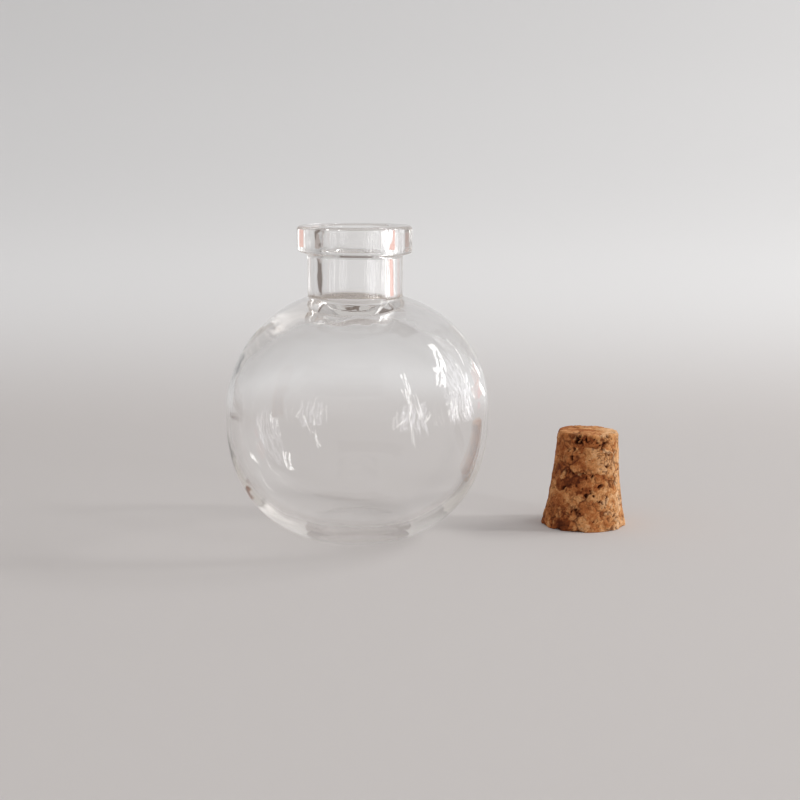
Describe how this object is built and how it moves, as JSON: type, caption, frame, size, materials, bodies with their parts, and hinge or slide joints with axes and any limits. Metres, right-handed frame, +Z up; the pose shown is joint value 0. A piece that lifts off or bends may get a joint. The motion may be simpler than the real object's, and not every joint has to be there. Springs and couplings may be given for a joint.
{
  "type": "corked glass bottle pendant",
  "caption": "Clear glass globe bottle with a short straight neck and a thick rolled lip, and its tapered cork standing beside it.",
  "frame": {"origin": "centre of the bottle's flat foot, on the table", "axes": "+Z up the neck, out of the mouth; +X to the right of the picture, the side where the cork stands; +Y away from the viewer"},
  "size_m": [0.0468, 0.03, 0.0357],
  "materials": {
    "clear_glass": "clear, smooth, slightly wavy",
    "cork": "matte, granular, pitted"
  },
  "bodies": {
    "bottle": {"bottle": "clear_glass"},
    "cork": {"cork": "cork"}
  },
  "joints": [
    {"name": "cork_lift", "type": "slide", "parent": "bottle", "child": "cork", "axis": [0, 0, 1], "range_m": [0, 0.04]}
  ]
}
